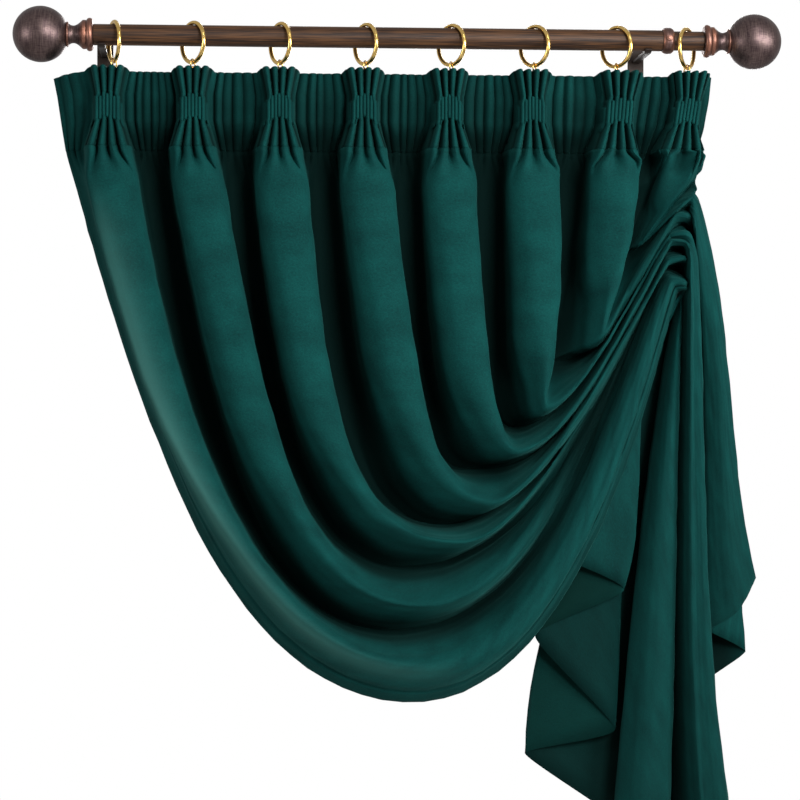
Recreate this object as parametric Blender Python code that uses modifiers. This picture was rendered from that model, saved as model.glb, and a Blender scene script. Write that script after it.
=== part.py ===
"""Pinch-pleated velvet curtain panel on a rod, swept to the right and gathered, with its tail hanging below.

Frame: x runs along the rod, y runs into the wall (the wall's face is y = 0), z is up.
The origin is the centre of the left bracket's wall plate. Tables are in millimetres,
and a drop is a distance below the rod's axis.
"""
import math

import bmesh
import bpy
import numpy as np

MM = 0.001
GAP = 0.3            # room left between pieces that touch
SEAM_GAP = 0.5       # half the room left along the seam of heading and panel

# Rod, finials, brackets, in millimetres
ROD_RISE = 18.0      # the rod's axis above the centre of the wall plates
ROD_Y = -95.0        # the rod's axis in front of the wall
ROD_LEFT = -11.0
ROD_SPLIT = 750.0    # where the wide tube ends in its collar
ROD_RIGHT = 806.0
ROD_RADIUS = 14.0
TUBE_WALL = 0.8
INNER_RADIUS = ROD_RADIUS - TUBE_WALL - GAP
COLLAR_LENGTH = 14.4
COLLAR_RADIUS = 17.6
SCREW_RADIUS = 2.2
BALL_RADIUS = 37.0
BALL_CENTRE = 69.0   # from the rod's end
BRACKET_X = {"left": 0.0, "right": 730.0}
PLATE_WIDTH = 22.0
PLATE_TOP = 24.0     # above the plate's centre
PLATE_THICK = 4.0
ARM_WIDTH = 9.0
ARM_THICK = 3.5      # the strap that makes the arm and the cradle at its end
CRADLE_BACK = 20     # where the cradle ends behind the rod, in degrees above level
CRADLE_FRONT = -130  # where it ends in front, counted the same way round under the rod

# Rings with their eyes and hooks, in millimetres
RING_OUTER = 29.0
RING_WIRE = 2.8
EYE_RADIUS = 7.1
EYE_WIRE = 1.0
HOOK_WIRE = 0.9
HOOK_BEND = 3.2      # radius of the turn that hangs in the eye
HOOK_SPREAD = 8.0    # half the distance between the hook's feet

# columns: x of the ring, turn of the ring about the vertical in degrees, x of the pleat
RINGS = (
    (15.8, 18, 8.0),
    (120.0, 34, 120.0),
    (236.0, 28, 234.0),
    (350.0, 30, 347.0),
    (465.0, 36, 460.0),
    (577.0, 38, 572.0),
    (688.0, 38, 684.0),
    (784.0, -32, 772.0),
)

# Cloth, in millimetres
CLOTH_THICK = 1.8
SEAM_DROP = 150.0    # where the heading is sewn to the panel
RETURN_Y = -44.0     # depth of the leading edge, which turns back at the left end
FINGERS = 4          # folds in one pleat
GATHERS = 5          # small gathers between two pleats
LEFT_WAVES = 2       # folds before the first pleat
FINGER_DEPTH = 9.0
GATHER_DEPTH = 4.5
PLEAT_EDGE = 12.0    # width in which the cloth steps back beside a pleat
HOOK_FOOT = 84.0     # drop of the hooks' feet

# The heading's level lines, from its top edge to the seam.
# columns: drop, half width of a pleat, depth y behind the pleats' folds, depth y between the pleats,
# how far the left end leans, how far the right end leans, dip between the pleats
HEADING = (
    (43.0, 23.0, -104.0, -86.0, -16.0, 15.0, 5.0),
    (78.0, 16.0, -104.0, -86.0, -11.0, 12.0, 0.0),
    (112.0, 16.0, -104.0, -80.0, -6.0, 7.0, 0.0),
    (SEAM_DROP - SEAM_GAP, 28.0, -116.0, -60.0, 0.0, 0.0, 0.0),
)
LEFT_LEAN_AT = (-50.0, -15.0)     # x where the left lean is full, and where it ends
RIGHT_LEAN_AT = (620.0, 740.0)    # x where the right lean starts, and where it is full

# The panel's fold lines from the seam to the gather: even rows are the edges and valleys, odd rows the ridges.
# columns: x at the seam, slant there, fall, belly x, belly drop, sweep, rise, pull, steepness,
# then x, drop and depth y of the knee where the line reaches the gather
FOLDS = (
    (-50, 0.27, 400, 413, 886, 240, 234, 70, 1.21, 762, 340, -140),
    (6, 0.13, 345, 419, 832, 230, 203, 107, 1.12, 751, 324, -160),
    (63, 0.15, 380, 384, 795, 170, 228, 193, 1.06, 751, 308, -136),
    (120, 0.14, 400, 415, 753, 170, 161, 185, 1.09, 751, 309, -126),
    (176, 0.10, 420, 405, 710, 110, 168, 230, 1.09, 752, 308, -122),
    (234, 0.05, 400, 473, 671, 160, 94, 73, 1.11, 751, 306, -124),
    (291, 0.05, 400, 452, 652, 90, 170, 23, 0.60, 752, 305, -122),
    (347, 0.08, 360, 511, 619, 90, 70, 50, 0.99, 749, 301, -154),
    (404, 0.04, 470, 510, 575, 50, 109, 190, 1.09, 750, 285, -126),
    (460, 0.00, 340, 546, 552, 30, 78, 20, 0.70, 752, 274, -158),
    (518, 0.00, 370, 554, 520, 25, 83, 64, 0.94, 752, 271, -136),
    (572, 0.00, 300, 585, 492, 12, 50, 20, 0.60, 753, 264, -146),
    (630, -0.05, 200, 602, 432, -5, 87, 111, 0.99, 756, 256, -134),
    (684, -0.15, 180, 661, 396, 6, 12, 120, 0.96, 760, 238, -152),
    (735, -0.15, 80, 702, 288, 0, 25, 20, 0.40, 767, 232, -126),
    (772, -0.30, 50, 722, 268, 0, 5, 40, 0.66, 780, 216, -150),
    (803, -0.02, 15, 799, 178, 0, 0, -10, 1.30, 788, 209, -132),
)

# Where the lines turn over at the gather: the ridges end in rounded noses, the valleys in hollows behind them.
# columns: x, drop and depth y of the tip, then x, drop and depth y where the tail begins
TURNS = (
    (771, 337, -154, 772, 346, -122),
    (771, 330, -168, 773, 337, -130),
    (771, 324, -156, 775, 327, -120),
    (768, 313, -122, 773, 323, -112),
    (770, 309, -119, 773, 319, -110),
    (771, 305, -120, 774, 316, -110),
    (772, 301, -121, 775, 311, -112),
    (771, 295, -162, 774, 306, -124),
    (773, 283, -116, 775, 312, -92),
    (772, 276, -165, 774, 294, -160),
    (769, 271, -150, 778, 286, -166),
    (776, 262, -160, 789, 290, -140),
    (773, 248, -120, 786, 264, -98),
    (776, 242, -158, 790, 254, -110),
    (779, 228, -128, 780, 241, -162),
    (782, 219, -152, 787, 224, -148),
    (791, 212, -130, 794, 216, -128),
)

# The tail's fold lines from the gather to the hem, in the same order.
# columns: x at a third of the way down, x at two thirds, hem x, hem drop, hem depth y
TAIL = (
    (712, 655, 600, 690, -128),
    (722, 714, 694, 738, -118),
    (706, 642, 577, 800, -106),
    (716, 696, 686, 927, -95),
    (690, 605, 566, 960, -83),
    (738, 716, 700, 1058, -72),
    (733, 705, 682, 1064, -112),
    (763, 755, 742, 1078, -126),
    (768, 765, 768, 1062, -60),
    (770, 768, 782, 1066, -118),
    (785, 791, 806, 1058, -142),
    (799, 808, 832, 1012, -128),
    (790, 795, 792, 890, -76),
    (825, 848, 863, 825, -94),
    (802, 807, 812, 794, -108),
    (820, 832, 848, 766, -124),
    (830, 847, 874, 723, -112),
)

# Depths of the cloth, in millimetres
RIDGE_Y = (-122, -142, -152, -160, -162, -158)
VALLEY_Y = (-60, -46, -50, -70, -108, -128)
EDGE_Y = (RETURN_Y, -58, -78, -110, -142, -144)
DEPTH_AT = (0.0, 0.12, 0.3, 0.52, 0.85, 1.0)
RIDGE_LEAN = (0.0, 0.12, 0.30, 0.0, 0.0, 0.0)    # share of the way that a ridge leans over the valley beside it
SINKING = (0.72, 0.93)    # where a line leaves these depths for that of its knee, as shares of the way down
TAIL_SETTLE = 5.0    # how quickly the tail's folds reach their own depth
FULL_FALL = 300.0    # a fold that hangs less than this below the seam stands out less
GATHER_FALL = 200.0  # the same for the place of a fold in the gather
SWAG_SHARE = 0.65    # share of the cloth's length that hangs before the gather

SWAG_ROWS = 25
TURN_ROWS = 2
TAIL_ROWS = 12
COLUMNS_PER_FOLD = 3


def drop_to_z(drop):
    """Height in the frame of a point a given drop below the rod's axis."""
    return ROD_RISE - drop


def material(name, color, roughness, metallic):
    """The material of this name, made at its first use."""
    found = bpy.data.materials.get(name)
    if found:
        return found
    made = bpy.data.materials.new(name)
    made.use_nodes = True
    shader = made.node_tree.nodes["Principled BSDF"]
    shader.inputs["Base Color"].default_value = (*color, 1.0)
    shader.inputs["Roughness"].default_value = roughness
    shader.inputs["Metallic"].default_value = metallic
    made.diffuse_color = (*color, 1.0)
    return made


def velvet():
    return material("emerald_velvet", (0.010, 0.075, 0.066), 0.85, 0.0)


def bronze():
    return material("oiled_bronze", (0.070, 0.048, 0.040), 0.38, 0.9)


def brass():
    return material("polished_brass", (0.56, 0.34, 0.09), 0.25, 1.0)


def grained_rod():
    return material("grained_rod_finish", (0.050, 0.026, 0.015), 0.45, 0.0)


def bracket_steel():
    return material("bracket_steel", (0.025, 0.016, 0.012), 0.5, 0.6)


def add_object(name, data, finish):
    made = bpy.data.objects.new(name, data)
    made.data.materials.append(finish)
    PARTS.objects.link(made)
    return made


def smooth(piece, angle=40):
    piece.data.shade_smooth()
    piece.data.set_sharp_from_angle(angle=math.radians(angle))


def turned(name, profile, finish, steps=28):
    """A turned piece along x: profile rows are (distance along x, radius), from left to right."""
    mesh = bpy.data.meshes.new(name)
    points = [(radius * MM, 0.0, -along * MM) for along, radius in profile]
    mesh.from_pydata(points, [(i, i + 1) for i in range(len(points) - 1)], [])
    piece = add_object(name, mesh, finish)
    screw = piece.modifiers.new("turn", "SCREW")
    screw.steps = steps
    screw.render_steps = steps
    screw.use_merge_vertices = True
    screw.merge_threshold = 0.00005
    piece.rotation_euler = (0.0, math.radians(-90), 0.0)
    piece.location = (0.0, ROD_Y * MM, drop_to_z(0) * MM)
    return piece


def arc(center, radius, start, end, count):
    """Points of a round stretch: center and radius in millimetres, angles in degrees."""
    angles = np.radians(np.linspace(start, end, count))
    return [(center[0] + radius * math.cos(a), center[1] + radius * math.sin(a)) for a in angles]


def tube_profile(start, end, radius):
    """A tube's wall, from the outside of its left end round to the inside of the same end."""
    inside = radius - TUBE_WALL
    return [(start, inside), (start, radius), (end, radius), (end, inside), (start, inside)]


def make_rod():
    turned("rod_tube", tube_profile(ROD_LEFT, ROD_SPLIT, ROD_RADIUS), grained_rod(), 32)
    inner_start = ROD_SPLIT - 60.0
    turned("rod_inner", tube_profile(inner_start, ROD_RIGHT, INNER_RADIUS), grained_rod(), 28)
    make_collar()


def make_collar():
    start = ROD_SPLIT + GAP
    end = start + COLLAR_LENGTH
    inside = ROD_RADIUS - TUBE_WALL
    rows = [(start, inside)]
    for share, dip in ((0.0, 2.6), (0.06, 1.2), (0.2, 0.3), (0.5, 0.0), (0.8, 0.3), (0.94, 1.2), (1.0, 2.6)):
        rows.append((start + share * COLLAR_LENGTH, COLLAR_RADIUS - dip))
    rows += [(end, inside), (start, inside)]
    turned("rod_collar", rows, bronze(), 28)
    bpy.ops.mesh.primitive_cylinder_add(vertices=12, radius=SCREW_RADIUS * MM, depth=2.4 * MM)
    screw = bpy.context.object
    screw.name = "collar_screw"
    screw.data.materials.append(bronze())
    for holder in screw.users_collection:
        holder.objects.unlink(screw)
    PARTS.objects.link(screw)
    tilt = math.radians(85)
    reach = COLLAR_RADIUS + 1.2 + GAP
    screw.location = (
        (start + COLLAR_LENGTH / 2) * MM,
        (ROD_Y - reach * math.sin(tilt)) * MM,
        (drop_to_z(0) + reach * math.cos(tilt)) * MM,
    )
    screw.rotation_euler = (tilt, 0.0, 0.0)


def finial_rows():
    """The finial's outline from the rod's end to the ball's pole: rows of (distance outward, radius)."""
    rows = [(0.0, 0.0), (0.0, 15.5)]
    rows += arc((4.6, 17.4), 4.6, 180, 0, 6)
    rows += [(10.2, 19.2), (13.8, 19.2), (15.5, 17.6), (21.0, 13.2), (26.0, 11.6), (30.0, 12.6)]
    rows += [(32.5, 14.4), (33.2, 16.0), (35.0, 16.2)]
    start = 180 - math.degrees(math.asin(15.6 / BALL_RADIUS))
    rows += arc((BALL_CENTRE, 0), BALL_RADIUS, start, 0, 12)[:-1]
    return rows + [(BALL_CENTRE + BALL_RADIUS, 0.0)]


def make_finials():
    rows = finial_rows()
    turned("finial_left", [(ROD_LEFT - GAP - along, radius) for along, radius in reversed(rows)], bronze(), 20)
    turned("finial_right", [(ROD_RIGHT + GAP + along, radius) for along, radius in rows], bronze(), 20)


def extruded(name, outline, width, finish):
    """A flat strap: outline rows are (y, z) in millimetres, extruded along x."""
    curve = bpy.data.curves.new(name, "CURVE")
    curve.dimensions = "2D"
    curve.fill_mode = "BOTH"
    curve.extrude = width / 2 * MM
    line = curve.splines.new("POLY")
    line.points.add(len(outline) - 1)
    line.use_cyclic_u = True
    for point, (y, z) in zip(line.points, outline):
        point.co = (y * MM, z * MM, 0.0, 1.0)
    flat = bpy.data.objects.new(name + "_outline", curve)
    PARTS.objects.link(flat)
    flat.rotation_euler = (math.radians(90), 0.0, math.radians(90))
    bpy.context.view_layer.update()
    mesh = bpy.data.meshes.new_from_object(flat.evaluated_get(bpy.context.evaluated_depsgraph_get()))
    mesh.transform(flat.matrix_world)
    bpy.data.objects.remove(flat)
    shape = bmesh.new()
    shape.from_mesh(mesh)
    bmesh.ops.remove_doubles(shape, verts=shape.verts, dist=0.00001)
    bmesh.ops.recalc_face_normals(shape, faces=shape.faces)
    shape.to_mesh(mesh)
    shape.free()
    mesh.materials.clear()
    return add_object(name, mesh, finish)


def make_bracket(side):
    """A wall plate and, standing on it, a flat arm whose end is bent up into a cradle under the rod."""
    centre_x = BRACKET_X[side] * MM
    bottom = -PLATE_TOP
    plate = [(-PLATE_THICK, bottom), (0.0, bottom), (0.0, PLATE_TOP), (-PLATE_THICK, PLATE_TOP)]
    extruded("bracket_plate_" + side, plate, PLATE_WIDTH, bracket_steel()).location.x = centre_x
    inside = ROD_RADIUS + GAP
    outside = inside + ARM_THICK
    axis = (ROD_Y, drop_to_z(0))
    root = -PLATE_THICK - GAP
    meeting = -math.degrees(math.asin(inside / outside))
    outline = [(root, axis[1] - outside), (root, axis[1] - inside)]
    outline += arc(axis, outside, meeting, CRADLE_BACK, 6)
    outline += arc(axis, inside, CRADLE_BACK, CRADLE_FRONT, 13)
    outline += arc(axis, outside, CRADLE_FRONT, -90, 5)
    extruded("bracket_arm_" + side, outline, ARM_WIDTH, bracket_steel()).location.x = centre_x


def torus(name, radius, wire, finish, around, across):
    bpy.ops.mesh.primitive_torus_add(
        major_radius=radius * MM, minor_radius=wire * MM, major_segments=around, minor_segments=across
    )
    ring = bpy.context.object
    ring.name = name
    ring.data.materials.append(finish)
    for holder in ring.users_collection:
        holder.objects.unlink(ring)
    PARTS.objects.link(ring)
    smooth(ring, 80)
    return ring


def wire(name, points, radius, finish):
    """A bent wire through points given in millimetres."""
    curve = bpy.data.curves.new(name, "CURVE")
    curve.dimensions = "3D"
    curve.bevel_depth = radius * MM
    curve.bevel_resolution = 0
    curve.use_fill_caps = True
    line = curve.splines.new("POLY")
    line.points.add(len(points) - 1)
    for point, place in zip(line.points, points):
        point.co = (*(np.array(place) * MM), 1.0)
    curve.materials.append(finish)
    piece = bpy.data.objects.new(name, curve)
    PARTS.objects.link(piece)
    return piece


def make_ring(number, ring_x, turn, pleat_x):
    """A ring on the rod, the small eye threaded on it, and the wire hook that carries the pleat."""
    major = RING_OUTER - RING_WIRE
    tube_radius = ROD_RADIUS if ring_x < ROD_SPLIT else INNER_RADIUS
    centre_drop = (major - RING_WIRE) - tube_radius - GAP
    ring = torus(f"ring_{number}", major, RING_WIRE, brass(), 20, 6)
    ring.rotation_euler = (0.0, math.radians(90), math.radians(turn))
    ring.location = (ring_x * MM, ROD_Y * MM, drop_to_z(centre_drop) * MM)
    eye_hole = EYE_RADIUS - 2 * EYE_WIRE
    eye_drop = centre_drop + major - RING_WIRE - GAP + eye_hole
    eye_turn = math.copysign((90 - abs(turn)) / 2, -turn)
    eye = torus(f"eye_{number}", EYE_RADIUS - EYE_WIRE, EYE_WIRE, brass(), 12, 5)
    eye.rotation_euler = (0.0, math.radians(90), math.radians(eye_turn))
    eye.location = (ring_x * MM, ROD_Y * MM, drop_to_z(eye_drop) * MM)
    make_hook(number, ring_x, pleat_x, eye_drop + eye_hole)


def make_hook(number, ring_x, pleat_x, eye_bottom):
    """A wire bent over the eye's lower turn, its two legs spread behind the pleat down to the cinch."""
    centre_drop = eye_bottom - GAP + HOOK_BEND - HOOK_WIRE
    foot_y = HEADING[1][2] + CLOTH_THICK / 2 + HOOK_WIRE + GAP
    foot_x = float(leaned(pleat_x, HEADING[1][4], HEADING[1][5]))
    points = [(foot_x - HOOK_SPREAD, foot_y, drop_to_z(HOOK_FOOT))]
    points += [(x, ROD_Y, z) for x, z in arc((ring_x, drop_to_z(centre_drop)), HOOK_BEND, 180, 0, 7)]
    points += [(foot_x + HOOK_SPREAD, foot_y, drop_to_z(HOOK_FOOT))]
    wire(f"hook_{number}", points, HOOK_WIRE, brass())


def bezier(points, t):
    """A cubic curve through its end points, for an array of positions t."""
    a, b, c, d = (np.asarray(p, float) for p in points)
    t = t[:, None]
    return (1 - t) ** 3 * a + 3 * (1 - t) ** 2 * t * b + 3 * (1 - t) * t ** 2 * c + t ** 3 * d


def eased(at, marks, values):
    """Values at a few marks, joined by curves that are level at each mark."""
    marks = np.asarray(marks, float)
    values = np.asarray(values, float)
    seg = np.clip(np.searchsorted(marks, at, side="right") - 1, 0, len(marks) - 2)
    t = (at - marks[seg]) / (marks[seg + 1] - marks[seg])
    t = t * t * (3 - 2 * t)
    return values[seg] * (1 - t) + values[seg + 1] * t


def swag_line(row, number, v):
    """One fold line from the seam down to its belly and up to the gather: x, y and drop for each v."""
    seam_x, slant, fall, belly_x, belly, sweep, rise, pull, steep, gather_x, gather, knee_y = row
    start = (seam_x, SEAM_DROP + SEAM_GAP)
    below = (seam_x + slant * fall, SEAM_DROP + fall)
    down = bezier((start, below, (belly_x - sweep, belly), (belly_x, belly)), np.clip(v * 2, 0, 1))
    before = (gather_x - pull * math.cos(steep), gather + pull * math.sin(steep))
    rising = ((belly_x, belly), (belly_x + rise, belly), before, (gather_x, gather))
    up = bezier(rising, np.clip(v * 2 - 1, 0, 1))
    flat = np.where((v < 0.5)[:, None], down, up)
    depths = EDGE_Y if number == 0 else (RIDGE_Y if number % 2 else VALLEY_Y)
    hang = min(1.0, (belly - SEAM_DROP) / FULL_FALL)
    bunch = min(1.0, (gather - SEAM_DROP) / GATHER_FALL)
    share = eased(v, (0.0, 0.1, 0.6, 1.0), (1.0, hang, hang, bunch))
    y = ROD_Y + share * (eased(v, DEPTH_AT, depths) - ROD_Y)
    sunk = eased(np.clip(v, *SINKING), SINKING, (0, 1))
    return np.column_stack([flat[:, 0], y * (1 - sunk) + knee_y * sunk, flat[:, 1]])


def tail_line(row, gather, t):
    """One fold line of the tail: a cubic through four places, settling from the gather's depth to its own."""
    third, two_thirds, hem_x, hem_drop, hem_y = row
    a, b, c, d = gather[0], third, two_thirds, hem_x
    x = (a * (1 - 3 * t) * (2 - 3 * t) * (1 - t) / 2 + b * 9 * t * (2 - 3 * t) * (1 - t) / 2
         - c * 9 * t * (1 - 3 * t) * (1 - t) / 2 + d * t * (1 - 3 * t) * (2 - 3 * t) / 2)
    y = hem_y + (gather[1] - hem_y) * (1 - t) ** TAIL_SETTLE
    drop = gather[2] + (hem_drop - gather[2]) * t
    return np.column_stack([x, y, drop])


def fold_lines():
    """All fold lines of the panel, seam to hem: an array of lines by rows by (x, y, drop)."""
    v = np.linspace(0, 1, SWAG_ROWS)
    t = np.linspace(0, 1, TAIL_ROWS + 1)[1:] ** 1.2
    lines = []
    for number, (fold, turn, tail) in enumerate(zip(FOLDS, TURNS, TAIL)):
        swag = swag_line(fold, number, v)
        turning = np.array(turn, float).reshape(TURN_ROWS, 3)[:, [0, 2, 1]]
        lines.append(np.vstack([swag, turning, tail_line(tail, turning[-1], t)]))
    lines = np.array(lines)
    lean = eased(v, DEPTH_AT, RIDGE_LEAN)[:, None]
    for ridge in range(1, len(lines) - 1, 2):
        valley = lines[ridge + 1, :SWAG_ROWS]
        lines[ridge, :SWAG_ROWS, ::2] += lean * (valley - lines[ridge, :SWAG_ROWS])[:, ::2]
    return lines


def fullness(at):
    """How round the ridges and valleys are on their outer and inner sides, at shares of the whole length."""
    marks = (0, 0.014, 0.10, 0.20, 0.30, 0.40, 0.50, 0.62, 0.72, 1)
    ridge_outer = eased(at, marks, (1.1, 3.4, 3.5, 1.5, 0.7, 1.6, 2.4, 1.3, 2.1, 2.1))[:, None]
    ridge_inner = eased(at, marks, (1.1, 3.7, 3.8, 2.0, 0.6, 1.8, 2.4, 1.1, 2.1, 2.1))[:, None]
    valley_outer = eased(at, marks, (1.0, 2.5, 2.5, 1.6, 0.4, 1.0, 1.6, 0.7, 1.6, 1.6))[:, None]
    valley_inner = eased(at, marks, (1.0, 2.5, 2.4, 0.8, 0.4, 1.0, 1.6, 0.6, 1.6, 1.6))[:, None]
    return ridge_outer, ridge_inner, valley_outer, valley_inner


def cloth_surface(lines, per_fold):
    """Joins the fold lines across by Hermite curves, round on the ridges and tight in the valleys."""
    count = len(lines)
    slope = np.empty_like(lines)
    slope[1:-1] = (lines[2:] - lines[:-2]) / 2
    slope[0] = lines[1] - lines[0]
    slope[-1] = lines[-1] - lines[-2]
    swag_at = np.linspace(0, SWAG_SHARE, SWAG_ROWS)
    tail_at = np.linspace(SWAG_SHARE, 1, TAIL_ROWS + 1)[1:]
    at = np.concatenate([swag_at, np.full(TURN_ROWS, SWAG_SHARE), tail_at])
    ridge_outer, ridge_inner, valley_outer, valley_inner = fullness(at)
    columns = []
    for k in range(count - 1):
        ridge_first = k % 2 == 1
        lead = ridge_inner if ridge_first else valley_inner
        follow = valley_outer if ridge_first else ridge_outer
        for step in range(per_fold):
            s = step / per_fold
            h00 = 2 * s ** 3 - 3 * s ** 2 + 1
            h10 = s ** 3 - 2 * s ** 2 + s
            h01 = 3 * s ** 2 - 2 * s ** 3
            h11 = s ** 3 - s ** 2
            bent = h10 * lead * slope[k] + h11 * follow * slope[k + 1]
            columns.append(h00 * lines[k] + h01 * lines[k + 1] + bent)
    columns.append(lines[-1])
    return np.array(columns)


def sheet(name, grid, thickness, finish):
    """A sheet through a grid of (x, y, drop) points in millimetres, given its thickness."""
    across, along, _ = grid.shape
    points = np.column_stack([grid[..., 0].ravel(), grid[..., 1].ravel(), drop_to_z(grid[..., 2]).ravel()]) * MM
    index = np.arange(across * along).reshape(across, along)
    corners = (index[:-1, :-1], index[:-1, 1:], index[1:, 1:], index[1:, :-1])
    faces = np.stack([corner.ravel() for corner in corners], axis=1)
    mesh = bpy.data.meshes.new(name)
    mesh.from_pydata(points.tolist(), [], faces.tolist())
    piece = add_object(name, mesh, finish)
    solidify = piece.modifiers.new("cloth thickness", "SOLIDIFY")
    solidify.thickness = thickness * MM
    solidify.offset = 0.0
    smooth(piece, 80)
    return piece


def make_panel():
    sheet("panel", cloth_surface(fold_lines(), COLUMNS_PER_FOLD), CLOTH_THICK, velvet())


def make_heading():
    """The pleated heading: fans of four fingers, cinched at mid height, with small gathers between them."""
    grid = [heading_section(*row) for row in HEADING]
    sheet("heading", np.array(grid).transpose(1, 0, 2), CLOTH_THICK, velvet())


def heading_waves(half):
    """Where the heading's folds lie: folds counted from the left end, at each pleat's two edges."""
    pleats = [row[2] for row in RINGS]
    knots = [FOLDS[0][0]]
    waves = [0]
    for pleat in pleats:
        knots += [pleat - half, pleat + half]
        before = LEFT_WAVES if pleat == pleats[0] else GATHERS
        waves += [waves[-1] + before, waves[-1] + before + FINGERS]
    return knots + [FOLDS[-1][0]], waves + [waves[-1] + 1]


def leaned(x, left, right):
    """x moved sideways near the heading's ends, which lean out at the top."""
    return x + left * np.interp(x, LEFT_LEAN_AT, (1, 0)) + right * np.interp(x, RIGHT_LEAN_AT, (0, 1))


def heading_section(drop, half, front, back, left, right, dip):
    """One level line of the heading, from the returned left end to the right end."""
    knots, waves = heading_waves(half)
    wave = np.arange(waves[-1] * COLUMNS_PER_FOLD + 1) / COLUMNS_PER_FOLD
    x = np.interp(wave, waves, knots)
    pleats = np.array([row[2] for row in RINGS])
    beside = np.abs(x[:, None] - pleats[None, :]).min(axis=1) - half
    between = eased(np.clip(beside / PLEAT_EDGE, 0, 1), (0, 1), (0, 1))
    swell = 0.5 - 0.5 * np.cos(2 * math.pi * wave)
    base = front * (1 - between) + back * between
    turn_back = np.clip((knots[1] - x) / (knots[1] - knots[0]), 0, 1) ** 2
    base = base * (1 - turn_back) + RETURN_Y * turn_back
    y = base - swell * (FINGER_DEPTH * (1 - between) + GATHER_DEPTH * between)
    return np.column_stack([leaned(x, left, right), y, drop + dip * (between + turn_back)])


def build():
    for old in list(bpy.data.objects):
        bpy.data.objects.remove(old)
    bpy.context.scene.collection.children.link(PARTS)
    make_rod()
    make_finials()
    for side in BRACKET_X:
        make_bracket(side)
    for number, (ring_x, turn, pleat_x) in enumerate(RINGS, start=1):
        make_ring(number, ring_x, turn, pleat_x)
    make_heading()
    make_panel()


PARTS = bpy.data.collections.new("curtain_panel_on_rod")
build()
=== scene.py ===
import math

import bmesh
import bpy
import numpy as np
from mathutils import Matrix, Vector


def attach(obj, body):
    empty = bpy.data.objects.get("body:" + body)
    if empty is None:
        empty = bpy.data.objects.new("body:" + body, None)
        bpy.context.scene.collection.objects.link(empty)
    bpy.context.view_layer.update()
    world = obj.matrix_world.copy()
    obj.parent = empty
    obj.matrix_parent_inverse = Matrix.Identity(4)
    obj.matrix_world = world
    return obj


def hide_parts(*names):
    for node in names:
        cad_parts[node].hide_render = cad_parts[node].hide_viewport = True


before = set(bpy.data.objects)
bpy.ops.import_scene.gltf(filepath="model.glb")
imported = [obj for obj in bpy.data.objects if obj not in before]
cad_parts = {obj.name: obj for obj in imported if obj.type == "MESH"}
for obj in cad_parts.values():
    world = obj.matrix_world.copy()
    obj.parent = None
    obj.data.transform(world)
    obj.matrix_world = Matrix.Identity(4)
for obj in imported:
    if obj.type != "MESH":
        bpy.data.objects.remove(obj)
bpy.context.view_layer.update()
mm = 0.001  # tables and grids are in millimetres, meshes in metres
scene = bpy.context.scene
drawn = np.random.default_rng(12)


# Camera, light and floor

view = {
    "target": (396, -95, -466),
    "distance": 3200,
    "azimuth": -4.2,  # degrees, the camera stands a little to the left
    "pixel": 1.337,  # mm of the object in one pixel, at the target's distance
    "pixels": 800,  # across the picture
    "sensor": 36,
    "white": 1.0,  # strength of the background that the camera sees
    "mirrored": 0.5,  # what the polished metal mirrors
    "ambient": 0.025,  # what the studio gives the cloth from all sides
    "floorSize": 3.2,
    "floorHeight": -1.9,
}

# columns: name, degrees to the right of the camera, height z, distance, size, watts
lamps = (
    ("rightSoftbox", 57, -20, 2400, 900, 40),
    ("leftSoftbox", -60, -60, 2400, 700, 14),
    ("frontSoftbox", 26, 420, 3000, 800, 70),
    ("topSoftbox", 20, 2000, 2400, 700, 16),
    ("wallSoftbox", 170, 300, 2400, 1200, 50),  # lights the back
)
lampTarget = (396, -95, -250)


def around(azimuth, height, distance):
    turn = math.radians(azimuth + view["azimuth"])
    x, y = view["target"][:2]
    return Vector((x + distance * math.sin(turn), y - distance * math.cos(turn), height)) * mm


def aimed(thing, place, target):
    thing.location = place
    thing.rotation_euler = (Vector(target) * mm - place).to_track_quat("-Z", "Y").to_euler()
    scene.collection.objects.link(thing)


def addCamera():
    lens = bpy.data.cameras.new("photoView")
    lens.sensor_width = view["sensor"]
    lens.lens = view["sensor"] * view["distance"] / view["pixel"] / view["pixels"]
    lens.clip_end = 30
    scene.camera = bpy.data.objects.new("photoView", lens)
    aimed(scene.camera, around(0, view["target"][2], view["distance"]), view["target"])


def addLights():
    for name, azimuth, height, distance, size, watts in lamps:
        lamp = bpy.data.lights.new(name, "AREA")
        lamp.size = size * mm
        lamp.energy = watts
        aimed(bpy.data.objects.new(name, lamp), around(azimuth, height, distance), lampTarget)
    world = bpy.data.worlds.new("whiteStudio")
    world.use_nodes = True
    tree = world.node_tree
    background = tree.nodes["Background"]
    background.inputs["Color"].default_value = (1, 1, 1, 1)
    ray = addNode(tree, "LightPath", {})
    mirrored = addNode(tree, "Mix", {"A": view["ambient"], "B": view["mirrored"]},
                       {"Factor": ray.outputs["Is Glossy Ray"]})
    seen = addNode(tree, "Mix", {"B": view["white"]},
                   {"Factor": ray.outputs["Is Camera Ray"], "A": mirrored})
    link(background, {"Strength": seen})
    scene.world = world
    scene.view_settings.view_transform = "Standard"


def addFloor():
    size, height = view["floorSize"], view["floorHeight"]
    mesh = bpy.data.meshes.new("paleFloor")
    corners = [(0.4 + x * size, y * size, height) for x, y in ((-1, -1), (1, -1), (1, 1), (-1, 1))]
    mesh.from_pydata(corners, [], [(0, 1, 2, 3)])
    floor = bpy.data.objects.new("paleFloor", mesh)
    scene.collection.objects.link(floor)
    paint = newMaterial("paleFloorPaint", {"Base Color": toLinear("D8D8D6"), "Roughness": 0.8})[0]
    mesh.materials.append(paint)


# Materials

def toLinear(hexColour):
    value = np.array([int(hexColour[k:k + 2], 16) / 255 for k in (0, 2, 4)])
    linear = np.where(value <= 0.04045, value / 12.92, ((value + 0.055) / 1.055) ** 2.4)
    return (*linear.tolist(), 1.0)


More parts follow.
